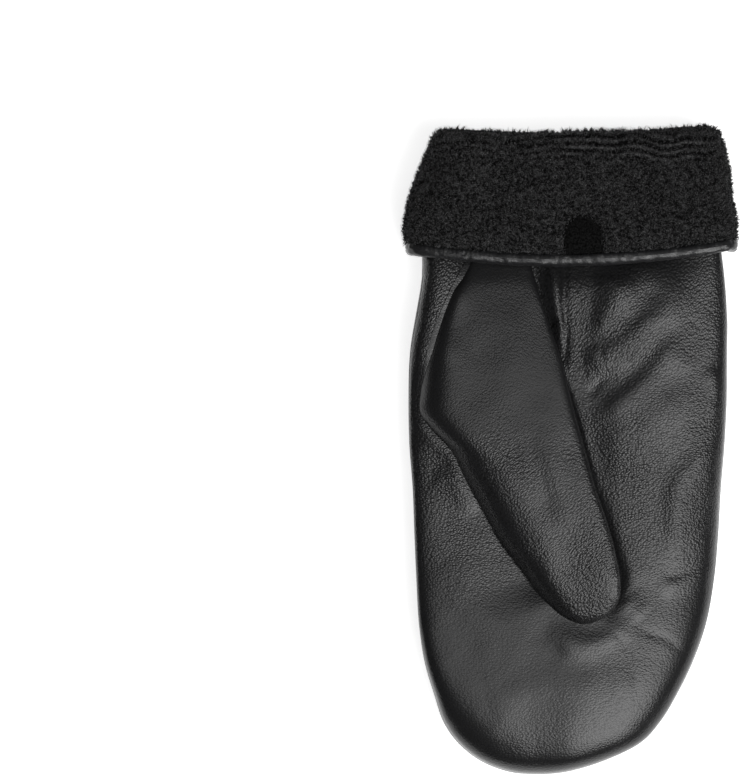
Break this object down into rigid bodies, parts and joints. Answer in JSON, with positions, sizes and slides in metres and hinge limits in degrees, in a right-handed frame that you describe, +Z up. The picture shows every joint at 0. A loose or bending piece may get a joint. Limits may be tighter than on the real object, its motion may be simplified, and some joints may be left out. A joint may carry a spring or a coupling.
{
  "type": "leather mitten with a pile lining, cuff turned back",
  "caption": "Pile-lined leather mitten lying palm up, thumb across the palm, cuff turned back over the wrist with its bound hem showing.",
  "frame": {"origin": "centre of the footprint, on the surface that the mitten lies on", "axes": "+Y from the fingertips to the mouth, +X to the little-finger side, +Z up, out of the palm"},
  "size_m": [0.1194, 0.2337, 0.038],
  "materials": {
    "leather": "soft black sheepskin, fine grain, satin",
    "binding_leather": "thin black leather, rolled round the hem and stitched",
    "tab_suede": "smooth black suede, matt",
    "pile": "short black plush pile, matt"
  },
  "bodies": {
    "root": {"palm_panel": "leather", "back_panel": "leather", "thumb_panel": "leather", "hem_binding": "binding_leather", "hem_tab": "tab_suede", "palm_lining": "pile", "back_lining": "pile"}
  },
  "joints": []
}
